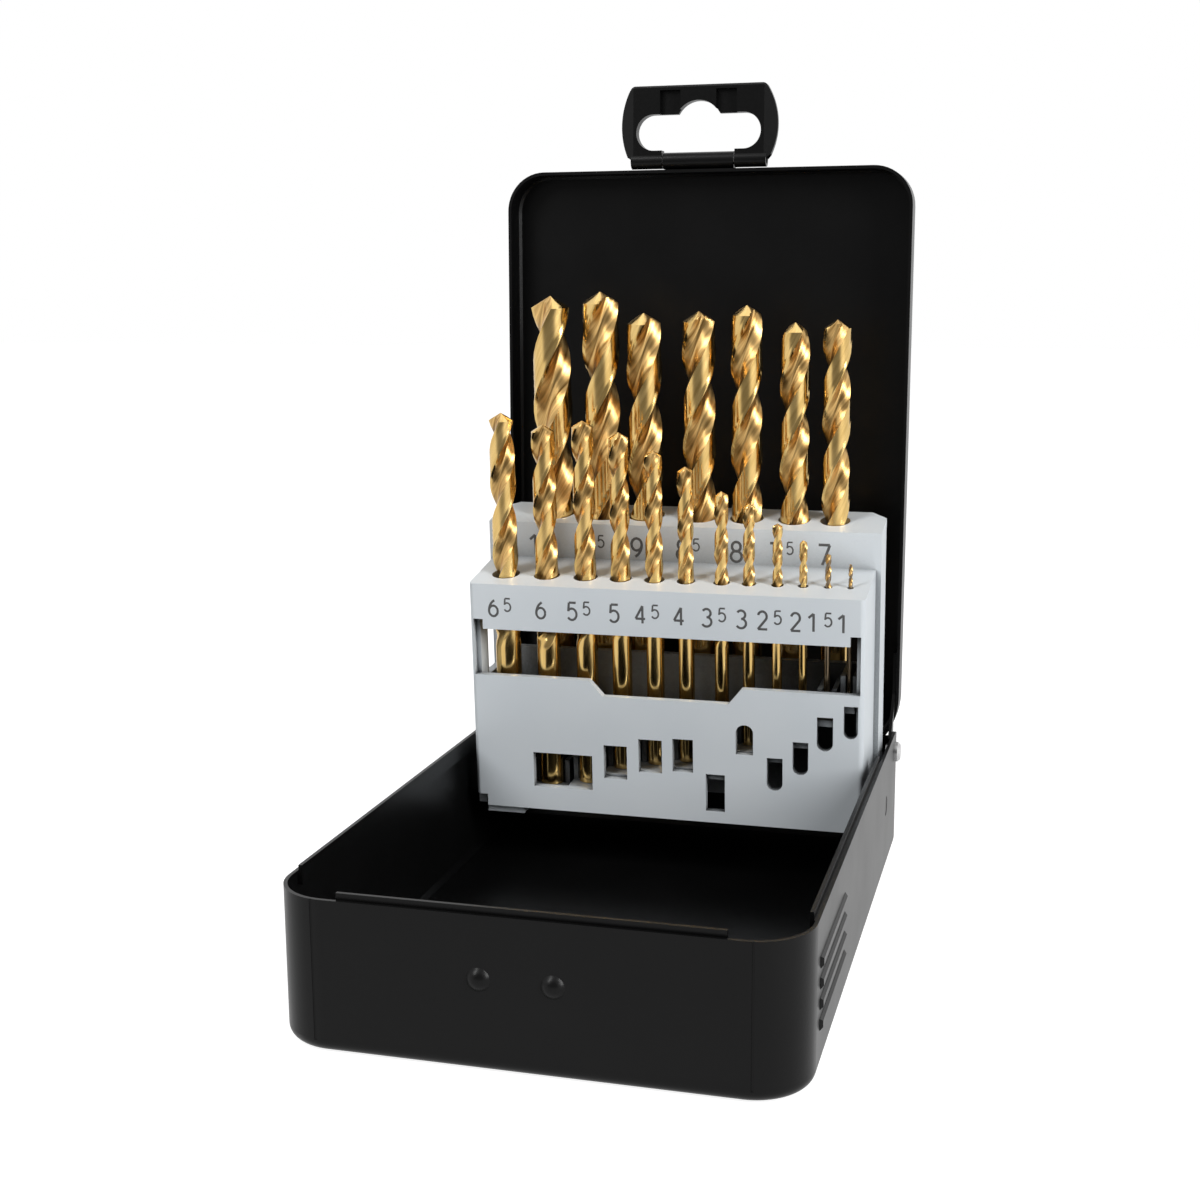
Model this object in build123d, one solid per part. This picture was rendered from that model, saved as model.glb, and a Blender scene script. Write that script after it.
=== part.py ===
"""Sheet-metal drill bit case with a hinged lid, a fold-up two-tier rack and nineteen twist drills.

Millimetres. The origin is the centre of the tray's underside, +Z is up and the case opens
towards -Y. Drawn open: lid up, rack up with its drills seated, hanger tab in line with the lid.
"""

import math
import os

from build123d import *

os.makedirs("parts", exist_ok=True)

# Case, folded from sheet
CASE_W, CASE_D = 107.0, 155.0
TRAY_H = 31.8
FLANGE_H = 8.2
SHEET = 0.8
GAP = 0.3
RUN = 0.05
TRAY_R_FRONT, TRAY_R_BACK, TRAY_R_FLOOR = 12.0, 2.8, 2.6
LID_R_FRONT, LID_R_BACK, LID_R_EDGE = 10.0, 18.0, 1.6
INNER_BEND = 0.4
FRONT_Y = -CASE_D / 2
SIDE_X = CASE_W / 2
WALL_X = SIDE_X - SHEET

# Rim lip inside the tray's wall
LIP_RISE, LIP_ROOT = 1.3, 2.8
LIP_FRONT_HALF = SIDE_X - TRAY_R_FRONT - 3.0

# Lid hinge
LID_SWING = 91.2
LID_EDGE_Z = TRAY_H + GAP
HINGE_INSET, EDGE_OVER_HINGE = 5.0, 5.55
HINGE_Y, HINGE_Z = CASE_D / 2 - HINGE_INSET, LID_EDGE_Z - EDGE_OVER_HINGE
EAR_L, EAR_FOOT_L, EAR_H = 25.0, 9.5, 5.0
LIP_BACK_Y = HINGE_Y - EAR_L - 3.0
BACK_CUT_R = EDGE_OVER_HINGE - GAP
BACK_TOP_HALF, BACK_TOP_Z = 34.0, TRAY_H - 1.0
EAR_T, EAR_SIDE_GAP, EAR_HUB_R = 0.8, 0.15, 2.5
RIVET_R, RIVET_HEAD_R, RIVET_HEAD_T = 1.25, 2.6, 1.3
CLINCH_R, CLINCH_T = 2.2, 0.5

# The latch, a little left of the middle: domes on the tray, loop and tab on the lid
LATCH_X = -1.9
DOME_X, DOME_Z, DOME_R, DOME_H = 7.4, 18.9, 2.4, 1.2

# Pressings in the tray
RIB_L, RIB_R, RIB_OUT = 35.0, 1.2, 0.6
RIB_MID_Y, RIB_TOP_Z, RIB_PITCH, RIB_COUNT = FRONT_Y + 33.5, 22.5, 4.2, 4
SEAM_X, SEAM_W, SEAM_DEEP = SIDE_X - TRAY_R_FRONT + 2.0, 0.5, 0.3

# Hanger tab and its pin at the lid's free edge
PIN_R, PIN_HALF = 1.2, 17.2
PIN_Y, PIN_Z = FRONT_Y - 2.3, LID_EDGE_Z + 1.8
LOOP_R, LOOP_HALF = 2.1, 9.3
TAB_T, TAB_L, TAB_ROOT_HALF, TAB_MID_HALF, TAB_TOP_HALF = 3.0, 18.9, 18.4, 20.6, 17.5
TAB_MID_V, TAB_R, TAB_BEVEL = 8.2, 1.5, 0.5
GRIP_X, GRIP_SLOPE = 17.2, 0.4
LUG_R, LUG_OUT = 2.0, 17.8
SLOT_V0, SLOT_V1, SLOT_HALF = 2.6, 11.7, 16.4
HUMP_V, HUMP_R = 15.0, 6.2
SNAP_DEEP = 1.6

# Rack, in its own frame: x across, b back from the front plate, u up the plate
RACK_LEAN = 3.1
PIVOT_Y, PIVOT_Z = HINGE_Y - 20.3, 18.0
PIVOT_B, PIVOT_U = 16.6, 1.5
RACK_T, FRONT_R = 2.0, 1.2
REAR_HALF = WALL_X - 2 * EAR_SIDE_GAP - EAR_T - CLINCH_T - 0.35
FRONT_HALF = REAR_HALF - 1.25
STEP_B, BACK_B, SIDE_B = 21.0, 36.0, 31.5
DECK_U0, DECK_U1, REAR_U0, REAR_U1 = 58.6, 61.3, 70.4, 72.7
MID_TOP_U = 37.0
ROW_B = (7.8, 29.0)
STUB_R, STUB_BOSS_R = 2.4, 3.6
REAR_CUT = 4.0
HOLE_CLEAR, POCKET_CLEAR = 0.3, 0.4
POCKET_T, POCKET_FLOOR_T, POCKET_H = 1.2, 1.6, 6.0

# Drills: diameter, overall length, how far it stands from its even place in the row, height of
# its shelf, row. Even places leave equal gaps between the drills of a row.
ROW_END = (2.15, 7.9)
DRILLS = [
    (1.0, 34, 0.1, 31.5, 0),
    (1.5, 40, 0.1, 27.8, 0),
    (2.0, 49, 0.0, 21.9, 0),
    (2.5, 57, 0.1, 17.8, 0),
    (3.0, 61, 0.0, 18.5, 0),
    (3.5, 70, 0.6, 12.3, 0),
    (4.0, 75, -0.4, 13.1, 0),
    (4.5, 80, 0.0, 11.9, 0),
    (5.0, 86, 0.3, 10.2, 0),
    (5.5, 93, 0.6, 5.9, 0),
    (6.0, 93, 0.4, 4.8, 0),
    (6.5, 101, 0.0, -0.5, 0),
    (7.0, 109, 0.9, 12.7, 1),
    (7.5, 109, 1.5, 12.0, 1),
    (8.0, 117, 0.8, 8.2, 1),
    (8.5, 117, 0.6, 6.7, 1),
    (9.0, 125, -1.1, -1.7, 1),
    (9.5, 125, 0.6, 3.6, 1),
    (10.0, 133, 0.9, -5.4, 1),
]
# Slots in the front plate: the drill behind, how far the slot's middle stands from it, its foot
# and top over that drill's shelf, half its width, and the end that is round, if any
SLOTS = [
    (1.0, 1.5, -7.4, 0.7, 1.7, "foot"),
    (1.5, 0.7, -7.2, 1.3, 1.95, "foot"),
    (2.0, 0.8, -7.8, 0.5, 1.9, "foot"),
    (2.5, 0.8, -8.2, 0.1, 1.95, "foot"),
    (3.0, 0.3, -0.2, 7.4, 2.15, "top"),
    (3.5, -0.2, -9.3, 0.3, 2.4, None),
    (4.0, 0.5, -0.4, 8.1, 2.6, None),
    (4.5, 0.2, 0.0, 8.6, 3.0, None),
    (5.0, -0.2, -0.6, 8.1, 3.0, None),
    (5.5, -4.9, 0.2, 9.3, 7.75, None),
]
POINT_HALF_ANGLE = 59.0


def row_places():
    """x of every drill, in the table's order: equal gaps across each row, then the drill's own nudge."""
    places = []
    for row, half in ((0, FRONT_HALF), (1, REAR_HALF)):
        drills = [drill for drill in DRILLS if drill[-1] == row]
        x = half - RACK_T - ROW_END[row]
        gap = (2 * x - sum(drill[0] for drill in drills)) / (len(drills) - 1)
        for diameter, _, nudge, _, _ in drills:
            places.append(x - diameter / 2 + nudge)
            x -= diameter + gap
    return places


def slab(xs, ys, zs):
    """An upright box between pairs of limits."""
    middle = [(low + high) / 2 for low, high in (xs, ys, zs)]
    return Pos(*middle) * Box(xs[1] - xs[0], ys[1] - ys[0], zs[1] - zs[0])


def rod(radius, x0, x1, y, z):
    """A round bar along X."""
    return Pos((x0 + x1) / 2, y, z) * Rot(0, 90, 0) * Cylinder(radius, abs(x1 - x0))


def turned(shape, y, z, degrees):
    """The shape turned about the X-wise line through (y, z), +Y towards +Z."""
    return Pos(0, y, z) * Rot(degrees, 0, 0) * Pos(0, -y, -z) * shape


def plate_x(points, x0, x1):
    """A flat plate drawn in Y and Z, between two values of x."""
    face = make_face(Polyline(*[(x0, y, z) for y, z in points], close=True))
    return extrude(face, amount=x1 - x0, dir=(1, 0, 0))


def plate_y(points, y0, y1):
    """A flat plate drawn in X and Z, between two values of y."""
    face = make_face(Polyline(*[(x, y0, z) for x, z in points], close=True))
    return extrude(face, amount=y1 - y0, dir=(0, 1, 0))


def block_like_case(inset, height, r_front, r_back):
    """A block the shape of the case, inset all round, with rounded upright corners."""
    wide, deep = CASE_W - 2 * inset, CASE_D - 2 * inset
    block = slab((-wide / 2, wide / 2), (-deep / 2, deep / 2), (inset, inset + height))
    block = fillet(block.edges().filter_by(Axis.Z).group_by(Axis.Y)[0], r_front - inset)
    return fillet(block.edges().filter_by(Axis.Z).group_by(Axis.Y)[-1], r_back - inset)


def pan(height, r_front, r_back, r_floor):
    """An open pan of sheet: rounded along the floor's edge outside, cut flat inside."""
    outside = block_like_case(0, height, r_front, r_back)
    outside = fillet(outside.faces().sort_by(Axis.Z)[0].edges(), r_floor)
    inside = block_like_case(SHEET, height, r_front, r_back)
    return outside - chamfer(inside.faces().sort_by(Axis.Z)[0].edges(), INNER_BEND * r_floor)


def rim_lip():
    """The folded lip standing just inside the tray's rim, along the front and both sides."""
    z0, step, z1 = TRAY_H - LIP_ROOT, TRAY_H - GAP, TRAY_H + LIP_RISE
    face_in, back_in = SHEET + GAP, 2 * SHEET + GAP
    side = slab((-SIDE_X + SHEET, -SIDE_X + back_in), (FRONT_Y + 14.0, LIP_BACK_Y), (z0, step))
    side += slab((-SIDE_X + face_in, -SIDE_X + back_in), (FRONT_Y + 14.0, LIP_BACK_Y), (step, z1))
    front = slab((-LIP_FRONT_HALF, LIP_FRONT_HALF), (FRONT_Y + SHEET, FRONT_Y + back_in), (z0, step))
    front += slab((-LIP_FRONT_HALF, LIP_FRONT_HALF), (FRONT_Y + face_in, FRONT_Y + back_in), (step, z1))
    return side + mirror(side, about=Plane.YZ) + front


def side_ribs():
    """The row of short ribs pressed out of a side wall."""
    ribs = []
    for number in range(RIB_COUNT):
        z = RIB_TOP_Z - number * RIB_PITCH
        ends = (RIB_MID_Y - RIB_L / 2, RIB_MID_Y + RIB_L / 2)
        bar = slab((SIDE_X - SHEET / 2, SIDE_X + RIB_OUT), ends, (z - RIB_R, z + RIB_R))
        ribs.append(chamfer(bar.faces().sort_by(Axis.X)[-1].edges(), RIB_OUT - 0.05))
    return ribs[0] + ribs[1:]


def latch_domes():
    """The two bumps the hanger tab snaps over."""
    ball_r = (DOME_R**2 + DOME_H**2) / (2 * DOME_H)
    places = (LATCH_X - DOME_X, LATCH_X + DOME_X)
    domes = [Pos(x, FRONT_Y - DOME_H + ball_r, DOME_Z) * Sphere(ball_r) for x in places]
    skin = slab((-SIDE_X, SIDE_X), (FRONT_Y - 2, FRONT_Y + SHEET / 2), (0, TRAY_H))
    return (domes[0] + domes[1]) & skin


def base_tray():
    tray = pan(TRAY_H, TRAY_R_FRONT, TRAY_R_BACK, TRAY_R_FLOOR)
    # The lid's edge swings past the back corners, so the wall is lower there.
    reach = math.sqrt(BACK_CUT_R**2 - HINGE_INSET**2)
    back = (HINGE_Y, HINGE_Y + 2 * HINGE_INSET)
    notch = slab((-SIDE_X - 1, SIDE_X + 1), back, (HINGE_Z + reach, TRAY_H + 1))
    notch -= rod(BACK_CUT_R, -SIDE_X - 1, SIDE_X + 1, HINGE_Y, HINGE_Z)
    keep = slab((-BACK_TOP_HALF, BACK_TOP_HALF), back, (0, BACK_TOP_Z))
    tray -= notch - keep
    tray += rim_lip() + latch_domes()
    ribs = side_ribs()
    tray += ribs + mirror(ribs, about=Plane.YZ)
    for side in (-1, 1):
        groove = (SEAM_X * side - SEAM_W / 2, SEAM_X * side + SEAM_W / 2)
        tray -= slab(groove, (FRONT_Y - 1, FRONT_Y + SEAM_DEEP), (TRAY_R_FLOOR, TRAY_H + 1))
    tray -= rod(RIVET_R, -SIDE_X - 1, SIDE_X + 1, HINGE_Y, HINGE_Z)
    return tray - rod(STUB_R + RUN, -SIDE_X - 1, SIDE_X + 1, PIVOT_Y, PIVOT_Z)


def hinge_rivet():
    """A right-hand rivet: domed head outside, shaft, clinched end inside the ear."""
    ear_in = WALL_X - EAR_SIDE_GAP - EAR_T - EAR_SIDE_GAP
    head = rod(RIVET_HEAD_R, SIDE_X, SIDE_X + RIVET_HEAD_T, 0, 0)
    head = chamfer(head.edges().sort_by(Axis.X)[-1], 0.6)
    rivet = head + rod(RIVET_R, ear_in, SIDE_X, 0, 0) + rod(CLINCH_R, ear_in - CLINCH_T, ear_in, 0, 0)
    return Pos(0, HINGE_Y, HINGE_Z) * rivet


def lid_ear():
    """The right-hand ear, with the lid closed: hub on the rivet, arm to the side flange."""
    x1 = WALL_X - EAR_SIDE_GAP
    low = EDGE_OVER_HINGE + 0.65
    foot, high = -EAR_L + EAR_FOOT_L, low + EAR_H
    arm = [(0, -EAR_HUB_R), (0, EAR_HUB_R), (-9, 3.2), (foot, high), (-EAR_L, high), (-EAR_L, low)]
    arm += [(foot + 1.5, low - 0.4), (-8, 0.5), (-4, -EAR_HUB_R)]
    ear = plate_x(arm, x1 - EAR_T, x1) + rod(EAR_HUB_R, x1 - EAR_T, x1, 0, 0)
    ear += slab((x1 - EAR_T / 2, WALL_X), (-EAR_L, foot), (low, high))
    ear -= rod(RIVET_R + 2 * RUN, x1 - 2, x1 + 1, 0, 0)
    return Pos(0, HINGE_Y, HINGE_Z) * ear


def lid_shell():
    shell = mirror(pan(FLANGE_H, LID_R_FRONT, LID_R_BACK, LID_R_EDGE), about=Plane.XY)
    shell = Pos(0, 0, LID_EDGE_Z + FLANGE_H) * shell
    ear = lid_ear()
    shell += ear + mirror(ear, about=Plane.YZ)
    loop = rod(LOOP_R, -LOOP_HALF, LOOP_HALF, PIN_Y, PIN_Z)
    top = PIN_Z + LOOP_R
    loop += slab((-LOOP_HALF, LOOP_HALF), (PIN_Y, FRONT_Y + SHEET / 2), (top - SHEET, top))
    shell += Pos(LATCH_X, 0, 0) * (loop - rod(PIN_R, -LOOP_HALF - 1, LOOP_HALF + 1, PIN_Y, PIN_Z))
    return turned(shell, HINGE_Y, HINGE_Z, -LID_SWING)


def hanger_tab():
    """The moulded tab, drawn with the lid closed and the tab straight out in front."""
    outline = Polyline((TAB_ROOT_HALF, 0), (-TAB_ROOT_HALF, 0))
    middle, end = (TAB_MID_HALF, -TAB_MID_V), (TAB_TOP_HALF, -TAB_L)
    outline += ThreePointArc((-TAB_ROOT_HALF, 0), (-middle[0], middle[1]), (-end[0], end[1]))
    outline += Polyline((-end[0], end[1]), end)
    outline += ThreePointArc(end, middle, (TAB_ROOT_HALF, 0))
    tab = Pos(0, 0, -TAB_T / 2) * extrude(make_face(outline), TAB_T)
    tab = fillet(tab.edges().filter_by(Axis.Z).group_by(Axis.Y)[0], TAB_R)
    tab = chamfer(tab.edges().filter_by(Axis.Z, reverse=True).group_by(Axis.Y)[:-1], TAB_BEVEL)
    slot_r, slot_mid = (SLOT_V1 - SLOT_V0) / 2, (SLOT_V0 + SLOT_V1) / 2
    tab -= Pos(0, -slot_mid, 0) * extrude(SlotOverall(2 * SLOT_HALF, 2 * slot_r), TAB_T, both=True)
    tab -= Pos(0, HUMP_R - HUMP_V, 0) * Cylinder(HUMP_R, 2 * TAB_T)
    inner, face = LOOP_HALF + GAP, -TAB_T / 2
    tab -= slab((-inner, inner), (-slot_mid, 1), (-TAB_T, TAB_T))
    for side in (-1, 1):
        # The face slopes back beside the slot, for a finger's grip.
        past = TAB_MID_HALF + 1
        slope = [(side * GRIP_X, face), (side * past, face + GRIP_SLOPE * (past - GRIP_X))]
        slope += [(side * past, face - 1), (side * GRIP_X, face - 1)]
        tab -= plate_y(slope, -TAB_L - 1, 1)
        snap = (side * DOME_X - DOME_R - GAP, side * DOME_X + DOME_R + GAP)
        reach = PIN_Z - DOME_Z + DOME_R + GAP
        tab -= slab(snap, (-reach, -slot_mid), (-TAB_T, face + SNAP_DEEP))
        tab += rod(LUG_R, side * inner, side * LUG_OUT, 0, 0)
    tab = Pos(LATCH_X, PIN_Y, PIN_Z) * (tab - rod(PIN_R + RUN, -30, 30, 0, 0))
    return turned(tab, HINGE_Y, HINGE_Z, -LID_SWING)


def on_rack(shape):
    """A shape in the rack's own frame, carried to the rack standing up in the open case."""
    stand = Pos(0, PIVOT_Y, PIVOT_Z) * Rot(RACK_LEAN, 0, 0) * Pos(0, -PIVOT_B, -PIVOT_U)
    return stand * shape


def front_tier():
    walls = [(0, 0), (0, DECK_U0), (STEP_B, DECK_U1), (STEP_B, 0)]
    shell = [(0, 0), (0, DECK_U0), (STEP_B, DECK_U1), (STEP_B, DECK_U1 - RACK_T)]
    shell += [(RACK_T, DECK_U0 - RACK_T), (RACK_T, 0)]
    tier = plate_x(shell, -FRONT_HALF, FRONT_HALF)
    tier += plate_x(walls, -FRONT_HALF, -FRONT_HALF + RACK_T)
    tier += plate_x(walls, FRONT_HALF - RACK_T, FRONT_HALF)
    tier = fillet(tier.edges().filter_by(Axis.Z).group_by(Axis.Y)[0], FRONT_R)
    # Window across the plate, notched at its top ends, deeper in the middle
    end, notch = FRONT_HALF - 0.9, FRONT_HALF - 3.4
    window = [(-end, 35), (-18.8, 35), (-15.2, 31), (16.6, 31), (19.8, 35), (end, 35), (end, 49.5)]
    window += [(notch, 49.5), (notch, 47), (-notch, 47), (-notch, 49.5), (-end, 49.5)]
    tier -= plate_y(window, -1, RACK_T)
    tier -= slab((-FRONT_HALF - 1, -FRONT_HALF + RACK_T + 1), (7.5, 19), (33, 48))
    for side in (-1, 1):
        corner = sorted((side * (FRONT_HALF + 1), side * (FRONT_HALF - 3)))
        tier -= slab(corner, (-1, RACK_T), (-1, 3))
    return tier


def rear_tier():
    back = BACK_B - 4.0
    shell = [(STEP_B, 0), (STEP_B, REAR_U0), (BACK_B, REAR_U1), (BACK_B, REAR_U1 - RACK_T)]
    shell += [(STEP_B + RACK_T, REAR_U0 - RACK_T), (STEP_B + RACK_T, 0)]
    top = REAR_U0 + (REAR_U1 - REAR_U0) * (SIDE_B - STEP_B) / (BACK_B - STEP_B)
    walls = [(STEP_B, 0), (STEP_B, REAR_U0), (SIDE_B, top), (SIDE_B, 0)]
    tier = plate_x(shell, -REAR_HALF, REAR_HALF)
    tier += plate_x(walls, -REAR_HALF, -REAR_HALF + RACK_T)
    tier += plate_x(walls, REAR_HALF - RACK_T, REAR_HALF)
    opening = (-REAR_HALF + 5, REAR_HALF - 5)
    tier -= slab(opening, (STEP_B - 1, STEP_B + RACK_T), (MID_TOP_U, DECK_U1 - RACK_T - 1))
    for side in (-1, 1):
        wide = REAR_CUT * math.sqrt(2)
        cut = Pos(side * REAR_HALF, BACK_B, 0) * Rot(0, 0, 45) * Box(wide, wide, 4 * REAR_U1)
        tier -= cut & slab((-60, 60), (back, BACK_B + 5), (REAR_U0 - RACK_T, 80))
    return tier


def pocket(diameter, x, u, row):
    """What holds the foot of one drill: a floor between two plates, with a cheek on each side.

    In the front row the cheeks start behind the drill, so that the slots show its shank.
    """
    half = diameter / 2 + POCKET_CLEAR
    wide, top = half + POCKET_T, u + POCKET_H
    b0, b1 = ((RACK_T - 0.5, STEP_B), (STEP_B + RACK_T - 0.5, BACK_B - 1.5))[row]
    floor = slab((x - wide, x + wide), (b0, b1), (u - POCKET_FLOOR_T, u))
    cheeks = slab((x - wide, x + wide), ((ROW_B[0], b0)[row], b1), (u, top))
    return floor + (cheeks - slab((x - half, x + half), (b0 - 1, b1 + 1), (u, top)))


def plate_slot(x, low, high, half, round_end):
    """One slot in the front plate, square or rounded at one end."""
    cut = slab((x - half, x + half), (-1, RACK_T), (low, high))
    if round_end is None:
        return cut
    ends = cut.edges().filter_by(Axis.Y).group_by(Axis.Z)
    return fillet(ends[0] if round_end == "foot" else ends[-1], 0.95 * half)


def drill_rack():
    rack = front_tier() + rear_tier()
    low, high = DECK_U0 - 2 * RACK_T, REAR_U1 + RACK_T
    placed = {drill[0]: (drill, x) for drill, x in zip(DRILLS, row_places())}
    for (diameter, _, _, u, row), x in placed.values():
        rack += pocket(diameter, x, u, row)
    for (diameter, _, _, _, row), x in placed.values():
        rack -= Pos(x, ROW_B[row], (low + high) / 2) * Cylinder(diameter / 2 + HOLE_CLEAR, high - low)
    for size, aside, foot, top, half, round_end in SLOTS:
        (_, _, _, u, _), x = placed[size]
        rack -= plate_slot(x + aside, u + foot, u + top, half, round_end)
    for side in (-1, 1):
        boss = sorted((side * (FRONT_HALF - RACK_T), side * (WALL_X - GAP)))
        stub = sorted((side * (FRONT_HALF - RACK_T), side * (SIDE_X - 0.1)))
        rack += rod(STUB_BOSS_R, *boss, PIVOT_B, PIVOT_U) + rod(STUB_R, *stub, PIVOT_B, PIVOT_U)
    return on_rack(rack)


def drill_bit(diameter, length, x, u, row):
    r = diameter / 2
    point = r / math.tan(math.radians(POINT_HALF_ANGLE))
    half = [(0, 0), (r, 0), (r, length - point), (0, length)]
    face = make_face(Polyline(*[(a, 0, c) for a, c in half], close=True))
    return on_rack(Pos(x, ROW_B[row], u) * revolve(face, Axis.Z))


def save(shape, name):
    export_step(shape, f"parts/{name}.step")


save(base_tray(), "base_tray")
save(hinge_rivet(), "hinge_rivet_right")
save(mirror(hinge_rivet(), about=Plane.YZ), "hinge_rivet_left")
save(lid_shell(), "lid_shell")
hanger_pin = rod(PIN_R, LATCH_X - PIN_HALF, LATCH_X + PIN_HALF, PIN_Y, PIN_Z)
save(turned(hanger_pin, HINGE_Y, HINGE_Z, -LID_SWING), "hanger_pin")
save(hanger_tab(), "hanger_tab")
save(drill_rack(), "drill_rack")
for (size, length, _, u, row), x in zip(DRILLS, row_places()):
    save(drill_bit(size, length, x, u, row), f"drill_bit_{size:04.1f}".replace(".", "_"))
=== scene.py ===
"""Looks for the drill bit case: materials, fluted drills, rack numbers, light and camera."""

import math

import bpy
from mathutils import Matrix, Vector


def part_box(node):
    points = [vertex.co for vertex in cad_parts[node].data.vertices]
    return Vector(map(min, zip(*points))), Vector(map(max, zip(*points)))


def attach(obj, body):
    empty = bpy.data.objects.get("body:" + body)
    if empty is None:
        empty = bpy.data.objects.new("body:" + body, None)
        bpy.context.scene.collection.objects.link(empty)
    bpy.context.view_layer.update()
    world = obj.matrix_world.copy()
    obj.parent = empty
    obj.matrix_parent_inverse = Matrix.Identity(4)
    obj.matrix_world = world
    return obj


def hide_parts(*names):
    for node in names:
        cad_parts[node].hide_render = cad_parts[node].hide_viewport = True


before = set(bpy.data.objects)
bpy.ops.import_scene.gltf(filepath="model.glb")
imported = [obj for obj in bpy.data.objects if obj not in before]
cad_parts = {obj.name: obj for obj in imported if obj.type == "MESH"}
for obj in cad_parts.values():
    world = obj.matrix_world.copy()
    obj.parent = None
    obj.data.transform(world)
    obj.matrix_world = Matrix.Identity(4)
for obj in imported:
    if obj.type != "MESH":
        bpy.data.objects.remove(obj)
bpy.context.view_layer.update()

MM = 0.001

# ---------------------------------------------------------------- the rack and its drills, in mm

# The rack's own axes: x across, b back from the front plate, u up the plate. It leans forward on its
# pivot, which is given in the frame and along those axes
RACK_LEAN = math.radians(3.1)
PIVOT = Vector((0, 52.2, 18.0))
PIVOT_B, PIVOT_U = 16.6, 1.5
RACK_AXES = Matrix.Rotation(RACK_LEAN, 3, "X")

# Drills: diameter, overall length, flute length, height of shelf, row, and how many degrees the
# middle of a flute has turned past the viewer at the point
DRILLS = [
    (1.0, 34, 12, 31.5, 0, 120),
    (1.5, 40, 18, 27.8, 0, 30),
    (2.0, 49, 24, 21.9, 0, 90),
    (2.5, 57, 30, 17.8, 0, 10),
    (3.0, 61, 33, 18.5, 0, 50),
    (3.5, 70, 39, 12.3, 0, 75),
    (4.0, 75, 43, 13.1, 0, 40),
    (4.5, 80, 47, 11.9, 0, 20),
    (5.0, 86, 52, 10.2, 0, 60),
    (5.5, 93, 57, 5.9, 0, 40),
    (6.0, 93, 57, 4.8, 0, 25),
    (6.5, 101, 59.5, -0.5, 0, -30),
    (7.0, 109, 69, 12.7, 1, 17),
    (7.5, 109, 69, 12.0, 1, 101),
    (8.0, 117, 75, 8.2, 1, 84),
    (8.5, 117, 75, 6.7, 1, 46),
    (9.0, 125, 81, -1.7, 1, 75),
    (9.5, 125, 81, 3.6, 1, 67),
    (10.0, 133, 87, -5.4, 1, -22),
]
ROW_B = (7.8, 29.0)  # how far behind the front plate each row stands
FOOT_LIFT = 0.02  # the drills' feet stand just clear of the pockets' floors


def on_rack(x, b, u):
    """A place given along the rack's axes in millimetres, as a place in the frame in metres."""
    return (PIVOT + RACK_AXES @ Vector((x, b - PIVOT_B, u - PIVOT_U))) * MM


def drill_tag(diameter):
    return f"{diameter:04.1f}".replace(".", "_")


def drill_x(diameter):
    """Where the frame holds a drill, across the rack, in millimetres."""
    low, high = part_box(f"drill_bit_{drill_tag(diameter)}")
    return (low[0] + high[0]) / 2 / MM


# ---------------------------------------------------------------- materials


def grey(value):
    return (value, value, value, 1)


def combine(tree, operation, *values):
    """A Math node's result from sockets or numbers."""
    node = tree.nodes.new("ShaderNodeMath")
    node.operation = operation
    for place, value in enumerate(values):
        if isinstance(value, (int, float)):
            node.inputs[place].default_value = value
        else:
            tree.links.new(value, node.inputs[place])
    return node.outputs[0]


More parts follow.
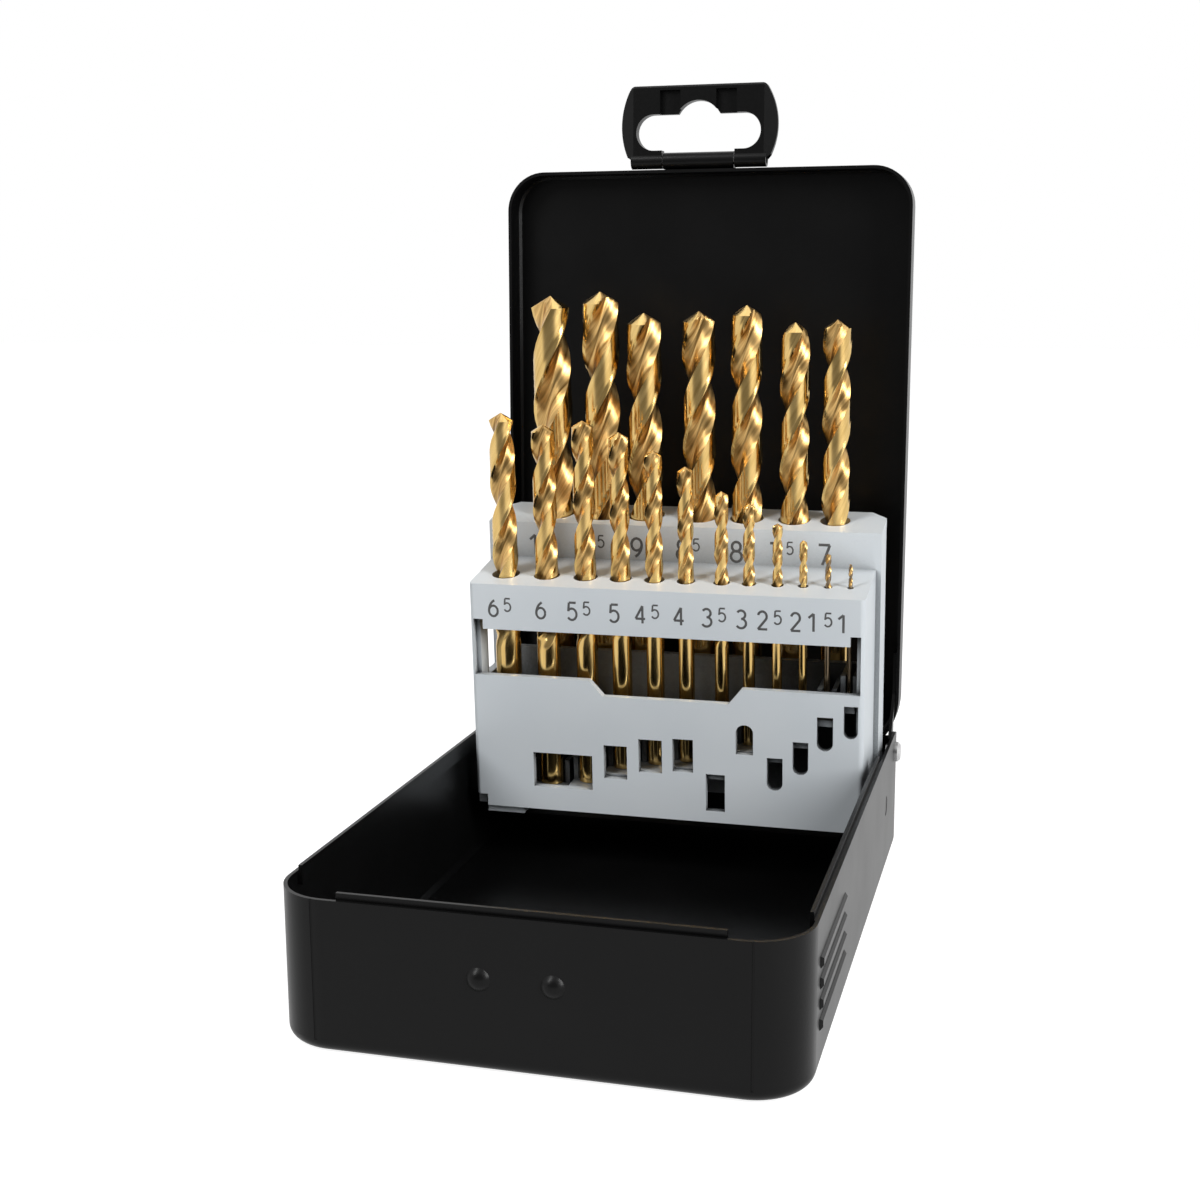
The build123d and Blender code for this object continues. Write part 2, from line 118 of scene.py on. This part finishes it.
class Nodes:
    """A small helper that builds one material's node tree."""

    def __init__(self, name):
        self.material = bpy.data.materials.new(name)
        self.material.use_nodes = True
        self.tree = self.material.node_tree
        self.shader = self.tree.nodes["Principled BSDF"]

    def add(self, kind, **inputs):
        node = self.tree.nodes.new(kind)
        for key, value in inputs.items():
            node.inputs[key.replace("_", " ")].default_value = value
        return node

    def link(self, a, b):
        self.tree.links.new(a, b)

    def set(self, **inputs):
        for key, value in inputs.items():
            self.shader.inputs[key.replace("_", " ")].default_value = value

    def noise(self, scale):
        """A noise texture's value, with so many grains to a metre."""
        place = self.add("ShaderNodeTexCoord")
        noise = self.add("ShaderNodeTexNoise", Scale=scale, Detail=NOISE_DETAIL)
        self.link(place.outputs["Object"], noise.inputs["Vector"])
        return noise.outputs["Fac"]

    def ramp(self, source, low, high, start=0.3, end=0.7):
        """Two values or colours blended by a texture."""
        ramp = self.add("ShaderNodeValToRGB")
        ramp.color_ramp.elements[0].color = low
        ramp.color_ramp.elements[1].color = high
        ramp.color_ramp.elements[0].position = start
        ramp.color_ramp.elements[1].position = end
        self.link(source, ramp.inputs["Fac"])
        return ramp.outputs["Color"]

    def colour(self, source, low, high):
        """The shader's colour, from low to high with the texture."""
        self.link(self.ramp(source, low, high), self.shader.inputs["Base Color"])

    def roughness(self, source, low, high):
        """The shader's roughness, from low to high with the texture."""
        self.link(self.ramp(source, grey(low), grey(high)), self.shader.inputs["Roughness"])

    def bump(self, source, strength, distance):
        bump = self.add("ShaderNodeBump", Strength=strength, Distance=distance)
        self.link(source, bump.inputs["Height"])
        self.link(bump.outputs["Normal"], self.shader.inputs["Normal"])

    def black_beyond(self, colour, reach):
        """The colour, black where the piece stands further out to the sides than the reach."""
        place = self.add("ShaderNodeTexCoord")
        split = self.add("ShaderNodeSeparateXYZ")
        self.link(place.outputs["Object"], split.inputs[0])
        aside = combine(self.tree, "ABSOLUTE", split.outputs["X"])
        inside = combine(self.tree, "LESS_THAN", aside, reach)
        mix = self.add("ShaderNodeMixRGB", Color1=STUB_BLACK)
        self.link(inside, mix.inputs["Fac"])
        self.link(colour, mix.inputs["Color2"])
        return mix.outputs["Color"]

    def shade_hollows(self, colour):
        """The shader's colour with painted shade, darker in the piece's own hollows."""
        hollow = self.add("ShaderNodeAmbientOcclusion", Distance=HOLLOW_REACH)
        hollow.only_local = True
        hollow.samples = HOLLOW_SAMPLES
        open_share = hollow.outputs["AO"]
        # painted shade: the base colour is multiplied darker where the piece's own surroundings close in
        depth = self.ramp(open_share, grey(HOLLOW_DARK), grey(1.0), start=HOLLOW_FULL, end=HOLLOW_NONE)
        mix = self.add("ShaderNodeMixRGB", Fac=1.0)
        mix.blend_type = "MULTIPLY"
        self.link(colour, mix.inputs["Color1"])
        self.link(depth, mix.inputs["Color2"])
        self.link(mix.outputs["Color"], self.shader.inputs["Base Color"])


NOISE_DETAIL = 3.0

# The sheen of the black paint and the black plastic, as the shader's specular level
BLACK_SHEEN = 0.17

# The painted shade in the rack's hollows: how far it looks, how dark it gets, and the open shares of
# the surroundings at which it is full and at which it ends
HOLLOW_REACH, HOLLOW_DARK, HOLLOW_SAMPLES = 0.03, 0.06, 8
HOLLOW_FULL, HOLLOW_NONE = 0.36, 0.76

# Where the rack's pivot stubs enter the tray's sides, in metres from the middle, and their colour
STUB_X, STUB_BLACK = 0.0522, grey(0.004)

STREAK_ROUGHNESS = 0.1  # how much rougher the steel is in its brightest streaks


def black_paint():
    n = Nodes("black_paint")
    fine, broad = n.noise(scale=1400), n.noise(scale=60)
    n.colour(broad, low=(0.0026, 0.0026, 0.0027, 1), high=(0.0034, 0.0034, 0.0035, 1))
    n.roughness(broad, low=0.29, high=0.32)
    n.set(Specular_IOR_Level=BLACK_SHEEN)
    n.bump(fine, strength=0.18, distance=0.00006)
    return n.material


def rack_plastic():
    n = Nodes("rack_plastic")
    fine, broad = n.noise(scale=900), n.noise(scale=40)
    tone = n.ramp(broad, low=(0.61, 0.655, 0.69, 1), high=(0.65, 0.69, 0.72, 1))
    # the rack's colour, with painted shade multiplied into its hollows
    n.shade_hollows(n.black_beyond(tone, STUB_X))
    n.set(Roughness=0.42)
    n.bump(fine, strength=0.12, distance=0.00004)
    return n.material


def tab_plastic():
    n = Nodes("tab_plastic")
    fine = n.noise(scale=1100)
    n.colour(fine, low=grey(0.0025), high=grey(0.004))
    n.set(Roughness=0.3, Specular_IOR_Level=BLACK_SHEEN)
    n.bump(fine, strength=0.1, distance=0.00004)
    return n.material


def rivet_steel():
    n = Nodes("rivet_steel")
    n.colour(n.noise(scale=1500), low=grey(0.5), high=grey(0.66))
    n.set(Metallic=1.0, Roughness=0.28)
    return n.material


def number_ink():
    n = Nodes("number_ink")
    n.colour(n.noise(scale=2500), low=grey(0.06), high=grey(0.10))
    n.set(Roughness=0.6)
    return n.material


def gold_steel(name, low, high, roughness, depth):
    """Coated steel with grinding streaks that follow the drill's texture map; with a wide colour range, as
    in the flutes, the streaks also paint dark and bright reflection stripes.
    """
    n = Nodes(name)
    along = n.add("ShaderNodeUVMap")
    noise = n.add("ShaderNodeTexNoise", Scale=1.0, Detail=NOISE_DETAIL)
    n.link(along.outputs["UV"], noise.inputs["Vector"])
    streaks = noise.outputs["Fac"]
    n.colour(streaks, low, high)
    n.roughness(streaks, roughness, roughness + STREAK_ROUGHNESS)
    n.set(Metallic=1.0)
    n.bump(streaks, depth, distance=0.0001)
    return n.material


PAINT = black_paint()
RACK = rack_plastic()
TAB = tab_plastic()
RIVET = rivet_steel()
INK = number_ink()
GOLD = gold_steel(
    "gold_steel", low=(0.64, 0.42, 0.14, 1), high=(0.86, 0.6, 0.24, 1), roughness=0.12, depth=0.04
)
# The flutes' streaks run from brown-black to bright gold: partly grinding marks, partly painted dark and
# bright reflection stripes.
FLUTE_GOLD_PAINTED_STRIPES = gold_steel(
    "flute_gold_painted_stripes", low=(0.21, 0.11, 0.028, 1), high=(0.9, 0.59, 0.23, 1), roughness=0.28, depth=0.7
)
DARK_GOLD = gold_steel(
    "dark_gold_steel", low=(0.20, 0.15, 0.10, 1), high=(0.32, 0.24, 0.15, 1), roughness=0.2, depth=0.2
)
DARK_UP_TO = 1.6  # thinner drills than this are dark


def paint(material, *names):
    for name in names:
        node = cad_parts[name]
        node.data.materials.clear()
        node.data.materials.append(material)


paint(PAINT, "base_tray", "lid_shell")
paint(RACK, "drill_rack")
paint(TAB, "hanger_tab")
paint(RIVET, "hinge_rivet_left", "hinge_rivet_right", "hanger_pin")

# ---------------------------------------------------------------- twist drills

# A drill's section repeats each half turn. In degrees anticlockwise from the land's heel: where
# the margin starts, and where it ends at the cutting edge, after which the flute begins
MARGIN_START, LAND_END, HALF_TURN = 68, 82, 180

# As shares of the drill's radius: the relieved land's radius and the flute's depth below it. The
# powers pull the deepest place towards the cutting edge and round the flute's floor
LAND_SHARE, FLUTE_DEEP, FLUTE_SKEW, FLUTE_ROUND = 0.96, 0.55, 0.8, 0.75
FLUTE_EDGE = 0.9  # what lies deeper than this share gets the flute's finish, with its painted reflection stripes

# Lengths in diameters: a flute's lead, its run-out, and the chamfer at the shank's foot
LEAD, RUN_OUT, FOOT_HIGH, FOOT_IN = 5.6, 1.1, 0.04, 0.05

# The viewer's direction in degrees clockwise from x, and what turns a flute's middle to it
VIEWER = 80
FLUTE_FRONT = VIEWER + (LAND_END + HALF_TURN) / 2

POINT_ANGLE = 118  # across the whole ground point, in degrees
SHARP_ANGLE = 32  # edges sharper than this stay crisp, in degrees

# Mesh density: places around a ring, rings to a lead, and how far below the tip the point's rings
# lie, as shares of the point's height
AROUND, RINGS_PER_LEAD = 56, 26
POINT_RINGS = (0.75, 0.5, 0.3, 0.15, 0.04)

# Grinding streaks, which in the flutes also carry painted reflection stripes: how many to a millimetre
# across and along, and their slant in the flutes
STREAK_ACROSS, STREAK_ALONG, FLUTE_SLANT = 0.75, 0.06, 0.45


def section(turn):
    """Radius of a two-flute drill at an angle in degrees, as a share of its own radius."""
    turn %= HALF_TURN
    if turn <= LAND_END:
        return LAND_SHARE if turn < MARGIN_START else 1.0
    along = ((turn - LAND_END) / (HALF_TURN - LAND_END)) ** FLUTE_SKEW
    return LAND_SHARE - FLUTE_DEEP * math.sin(math.pi * along) ** FLUTE_ROUND


def ring_heights(diameter, length, flute, point):
    """Heights of a drill's rings above its foot, from the shank's end to just below its point."""
    start = length - flute
    heights = [FOOT_LIFT, FOOT_HIGH * diameter, start / 2, start]
    count = max(2, int((flute - point) / (LEAD * diameter / RINGS_PER_LEAD)))
    heights += [start + (flute - point) * (i + 1) / count for i in range(count)]
    return heights + [length - point * share for share in POINT_RINGS]


def eased(share):
    """A share held between 0 and 1, and eased at both ends."""
    share = min(1.0, max(0.0, share))
    return share * share * (3 - 2 * share)


def streak_map(mesh, heights, diameter, start):
    """Texture places that follow the lands, and lie at a slant to them in the flutes."""
    layer = mesh.uv_layers.new(name="streaks")
    for polygon in mesh.polygons:
        slant = FLUTE_SLANT if polygon.material_index else 0.0
        turns = [mesh.loops[i].vertex_index % AROUND for i in polygon.loop_indices]
        wraps = max(turns) - min(turns) > AROUND / 2
        for i, turn in zip(polygon.loop_indices, turns):
            ring = min(mesh.loops[i].vertex_index // AROUND, len(heights) - 1)
            turn += AROUND if wraps and turn < AROUND / 2 else 0
            across = math.pi * diameter * turn / AROUND - slant * max(0.0, heights[ring] - start)
            layer.data[i].uv = (across * STREAK_ACROSS, heights[ring] * STREAK_ALONG)


def drill_rings(diameter, length, start, point, heights, turned):
    """Places ring by ring around a drill's own axis, in millimetres, with the tip at the end."""
    r, lead = diameter / 2, LEAD * diameter
    places = []
    for height in heights:
        fade = eased((height - start) / (RUN_OUT * diameter))
        limit = min(r, (length - height) / point * r)
        if height == FOOT_LIFT:
            limit = r - FOOT_IN * diameter
        spin = 2 * math.pi * max(0.0, height - start) / lead
        for k in range(AROUND):
            angle = 2 * math.pi * k / AROUND
            share = 1.0 + (section(math.degrees(angle)) - 1.0) * fade
            rho = min(r * share, limit)
            a = angle + spin + turned
            places.append((rho * math.cos(a), rho * math.sin(a), height))
    return places + [(0.0, 0.0, length)]


def drill_faces(heights, flutes_from):
    """Faces between the rings, each with whether it lies in a flute, and the faces of both ends."""
    sides, in_flute = [], []
    for ring in range(len(heights) - 1):
        for k in range(AROUND):
            a, b = ring * AROUND + k, ring * AROUND + (k + 1) % AROUND
            sides.append((a, b, b + AROUND, a + AROUND))
            deep = section(360 * (k + 0.5) / AROUND) < FLUTE_EDGE
            in_flute.append(deep and heights[ring] > flutes_from)
    foot = [tuple(reversed(range(AROUND)))]
    last, tip = (len(heights) - 1) * AROUND, len(heights) * AROUND
    point = [(last + k, last + (k + 1) % AROUND, tip) for k in range(AROUND)]
    return sides + foot + point, in_flute


def twist_drill(diameter, length, flute, u, row, turn):
    """One fluted drill as a mesh: plain shank, right-hand flutes that run out, and a ground point."""
    name, x, start = drill_tag(diameter), drill_x(diameter), length - flute
    point = diameter / 2 / math.tan(math.radians(POINT_ANGLE / 2))
    turned = math.radians(turn - FLUTE_FRONT) - 2 * math.pi * flute / (LEAD * diameter)
    heights = ring_heights(diameter, length, flute, point)
    places = drill_rings(diameter, length, start, point, heights, turned)
    faces, in_flute = drill_faces(heights, flutes_from=start + RUN_OUT * diameter / 2)

    mesh = bpy.data.meshes.new(f"twist_drill_{name}")
    mesh.from_pydata([tuple(on_rack(x + a, ROW_B[row] + b, u + h)) for a, b, h in places], [], faces)
    mesh.update()
    mesh.shade_smooth()
    mesh.set_sharp_from_angle(angle=math.radians(SHARP_ANGLE))
    drill = bpy.data.objects.new(f"twist_drill_{name}", mesh)
    bpy.context.collection.objects.link(drill)
    mesh.materials.append(GOLD if diameter > DARK_UP_TO else DARK_GOLD)
    mesh.materials.append(FLUTE_GOLD_PAINTED_STRIPES)
    for polygon, fluted in zip(mesh.polygons, in_flute):
        polygon.material_index = int(fluted)
    streak_map(mesh, heights, diameter, start)
    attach(drill, f"drill_{name}")
    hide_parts(f"drill_bit_{name}")


for sizes in DRILLS:
    twist_drill(*sizes)

# ---------------------------------------------------------------- the rack's printed numbers

BEND_STEPS = 16


def bend(x, y, wide, high, start, end):
    """Points along part of an oval, angles in degrees counted anticlockwise from the right."""
    angles = [math.radians(start + (end - start) * i / BEND_STEPS) for i in range(BEND_STEPS + 1)]
    return [(x + wide * math.cos(a), y + high * math.sin(a)) for a in angles]


# Figures as strokes in a box one unit each way, split where they turn sharply
STROKES = {
    "0": [bend(0.5, 0.5, 0.5, 0.5, 0, 360)],
    "1": [[(0.1, 0.76), (0.6, 1.0)], [(0.6, 1.0), (0.6, 0.0)]],
    "2": [bend(0.5, 0.72, 0.44, 0.28, 165, -35) + [(0.05, 0.0)], [(0.05, 0.0), (1.0, 0.0)]],
    "3": [bend(0.46, 0.76, 0.42, 0.24, 150, -90), bend(0.46, 0.27, 0.5, 0.27, 85, -150)],
    "4": [[(0.72, 0.0), (0.72, 1.0)], [(0.72, 1.0), (0.0, 0.26)], [(0.0, 0.26), (1.0, 0.26)]],
    "5": [[(0.92, 1.0), (0.18, 1.0)], [(0.18, 1.0), (0.1, 0.5)], bend(0.47, 0.33, 0.5, 0.33, 140, -145)],
    "6": [bend(0.5, 0.31, 0.48, 0.31, 0, 360), bend(1.1, 0.3, 1.08, 0.7, 180, 115)],
    "7": [[(0.0, 1.0), (1.0, 1.0)], [(1.0, 1.0), (0.35, 0.0)]],
    "8": [bend(0.5, 0.76, 0.4, 0.24, 0, 360), bend(0.5, 0.27, 0.5, 0.27, 0, 360)],
    "9": [bend(0.5, 0.69, 0.48, 0.31, 0, 360), bend(-0.1, 0.7, 1.08, 0.7, 0, -65)],
}

# As shares of a figure's height: its width, its stroke, and the step from figure to figure
DIGIT_WIDE, DIGIT_STROKE, DIGIT_STEP = 0.48, 0.12, 0.66
INK_T = 0.06  # how thick the ink is, in mm

# For each row: the plate's face, the foot and height of its figures, the height of the small 5 as
# a share of theirs, and how far the numbers stand aside from their drills: one figure, two
# figures, a half size's figure and its 5
FIGURES = [
    {
        "face": 0.0, "foot": 50.1, "height": 5.0, "small": 0.74,
        "one": 0.0, "two": 0.0, "half": -1.8, "five": 1.9,
    },
    {
        "face": 21.0, "foot": 61.6, "height": 5.8, "small": 0.6,
        "one": -0.9, "two": -2.4, "half": -2.9, "five": 0.7,
    },
]
FIVE_TOP = 1.04  # the top of the small 5, as a share of the big figure's height
FIGURE_SPREAD = 0.982  # the numbers stand a little closer together than the drills


def figure(text, x, b, foot, height, name):
    """A printed number lying on one of the rack's upright plates, centred on x."""
    curve = bpy.data.curves.new(name, "CURVE")
    curve.dimensions = "3D"
    curve.bevel_depth = DIGIT_STROKE / 2 * height * MM
    curve.bevel_resolution = 2
    turn = Matrix.Rotation(RACK_LEAN + math.pi / 2, 4, "X")
    flat = Matrix.Diagonal((1, 1, INK_T / (DIGIT_STROKE * height), 1))
    for place, digit in enumerate(text):
        left = (place - len(text) / 2) * DIGIT_STEP + (DIGIT_STEP - DIGIT_WIDE) / 2
        for stroke in STROKES[digit]:
            spline = curve.splines.new("POLY")
            spline.points.add(len(stroke) - 1)
            for point, (u, v) in zip(spline.points, stroke):
                inset = DIGIT_STROKE / 2 + v * (1 - DIGIT_STROKE)
                point.co = ((left + u * DIGIT_WIDE) * height * MM, inset * height * MM, 0, 1)
    number = bpy.data.objects.new(name, curve)
    bpy.context.collection.objects.link(number)
    number.matrix_world = Matrix.Translation(on_rack(x, b, foot)) @ turn @ flat
    curve.materials.append(INK)
    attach(number, "rack")


def rack_numbers():
    for diameter, _, _, _, row, _ in DRILLS:
        place, tag = FIGURES[row], drill_tag(diameter)
        x = drill_x(diameter) * FIGURE_SPREAD
        face, foot, height = place["face"], place["foot"], place["height"]
        text = str(int(diameter))
        if diameter % 1:
            small = place["small"] * height
            small_foot = foot + FIVE_TOP * height - small
            figure("5", x + place["five"], face, small_foot, small, f"number_half_{tag}")
            shift = place["half"]
        else:
            shift = place["two"] if len(text) > 1 else place["one"]
        figure(text, x + shift, face, foot, height, f"number_{tag}")


rack_numbers()

# ---------------------------------------------------------------- studio, in metres

# The floor's size, how far it lies below the case, its own tone, and how much darker mirrors see it
FLOOR_SIZE, FLOOR_DROP, FLOOR_TONE, FLOOR_MIRROR_LOSS = 6, 0.0002, 0.5, 0.42

# How far the floor is lifted to white, the world's light, and what mirrors see towards the front
FLOOR_LIFT, WORLD_LEVEL, FRONT_DARK = 0.85, 0.2, 0.1

# The share of y in a direction from the case at which the front's dark ends and the rest's
# brightness begins, and the height that the floor's places are given, so that those near the case
# count as bright
DARK_Y, BRIGHT_Y, AIM_RISE = -0.86, -0.62, 0.25

# Lamps: name, place, width and height, watts
LAMPS = (
    ("key", (-0.65, -0.82, 0.95), (0.35, 0.9), 9.5),
    ("fill", (0.95, -0.5, 0.62), (0.3, 1.0), 13.0),
    ("back", (0.0, 0.6, 1.0), (0.8, 0.8), 1.0),
)
LAMP_AIM = Vector((0, 0, 0.07))


def seen_directly(tree, source, rise, level):
    """The level for camera rays, less towards the front for mirror and glass rays, zero for the rest."""
    rays = tree.nodes.new("ShaderNodeLightPath")
    place = tree.nodes.new("ShaderNodeTexCoord")
    lifted = tree.nodes.new("ShaderNodeVectorMath")
    lifted.inputs[1].default_value = (0, 0, rise)
    tree.links.new(place.outputs[source], lifted.inputs[0])
    aim = tree.nodes.new("ShaderNodeVectorMath")
    aim.operation = "NORMALIZE"
    tree.links.new(lifted.outputs["Vector"], aim.inputs[0])
    split = tree.nodes.new("ShaderNodeSeparateXYZ")
    tree.links.new(aim.outputs["Vector"], split.inputs[0])
    fade = tree.nodes.new("ShaderNodeMapRange")
    fade.interpolation_type = "SMOOTHSTEP"
    fade.inputs["From Min"].default_value = DARK_Y
    fade.inputs["From Max"].default_value = BRIGHT_Y
    fade.inputs["To Min"].default_value = FRONT_DARK
    fade.inputs["To Max"].default_value = 1.0
    tree.links.new(split.outputs["Y"], fade.inputs["Value"])
    mirrored = combine(tree, "MAXIMUM", rays.outputs["Is Glossy Ray"], rays.outputs["Is Transmission Ray"])
    mirrored = combine(tree, "MULTIPLY", mirrored, fade.outputs["Result"])
    total = combine(tree, "ADD", rays.outputs["Is Camera Ray"], mirrored)
    return combine(tree, "MULTIPLY", total, level)


def floor_material():
    """A pale matt floor that cameras see as white, with the object's shadow kept."""
    n = Nodes("studio_floor")
    n.set(Roughness=0.9, Emission_Color=grey(1.0))
    glossy = n.add("ShaderNodeLightPath").outputs["Is Glossy Ray"]
    tone = combine(n.tree, "MULTIPLY_ADD", glossy, -FLOOR_MIRROR_LOSS, FLOOR_TONE)
    n.link(tone, n.shader.inputs["Base Color"])
    n.link(seen_directly(n.tree, "Object", AIM_RISE, FLOOR_LIFT), n.shader.inputs["Emission Strength"])
    return n.material


def floor_plane():
    bpy.ops.mesh.primitive_plane_add(size=FLOOR_SIZE, location=(0, 0, -FLOOR_DROP))
    floor = bpy.context.object
    floor.name = "studio_floor"
    floor.data.materials.append(floor_material())


def studio_world():
    world = bpy.data.worlds.new("studio_world")
    bpy.context.scene.world = world
    world.use_nodes = True
    tree = world.node_tree
    back = tree.nodes["Background"]
    back.inputs["Color"].default_value = grey(1.0)
    seen = seen_directly(tree, "Generated", 0, 1 - WORLD_LEVEL)
    tree.links.new(combine(tree, "ADD", seen, WORLD_LEVEL), back.inputs["Strength"])


def studio_lamp(name, place, size, power):
    data = bpy.data.lights.new(name, "AREA")
    data.shape = "RECTANGLE"
    data.size, data.size_y = size
    data.energy = power
    lamp = bpy.data.objects.new(name, data)
    bpy.context.collection.objects.link(lamp)
    lamp.location = place
    lamp.rotation_euler = (LAMP_AIM - Vector(place)).to_track_quat("-Z", "Y").to_euler()


floor_plane()
studio_world()
for lamp_facts in LAMPS:
    studio_lamp(*lamp_facts)

# ---------------------------------------------------------------- camera

# The photograph's viewpoint: place in millimetres, yaw, pitch and roll in degrees, and the focal
# length in pixels of its frame
CAMERA_PLACE = Vector((95.46, -366.13, 150.90))
YAW, PITCH, ROLL = -15.53, -10.88, -0.40
FOCAL, PHOTO_WIDTH = 1716.9, 1200
SENSOR_WIDTH = 36.0


def photo_camera():
    data = bpy.data.cameras.new("photo_camera")
    data.sensor_width = SENSOR_WIDTH
    data.lens = SENSOR_WIDTH * FOCAL / PHOTO_WIDTH
    data.clip_start = 0.01
    camera = bpy.data.objects.new("photo_camera", data)
    bpy.context.collection.objects.link(camera)
    y, p, r = math.radians(YAW), math.radians(PITCH), math.radians(ROLL)
    ahead = Vector((math.sin(y) * math.cos(p), math.cos(y) * math.cos(p), math.sin(p)))
    right = Vector((math.cos(y), -math.sin(y), 0))
    up = right.cross(ahead)
    right, up = right * math.cos(r) + up * math.sin(r), up * math.cos(r) - right * math.sin(r)
    turn = Matrix((right, up, -ahead)).transposed().to_4x4()
    camera.matrix_world = Matrix.Translation(CAMERA_PLACE * MM) @ turn
    bpy.context.scene.camera = camera


photo_camera()
bpy.context.scene.view_settings.view_transform = "Standard"
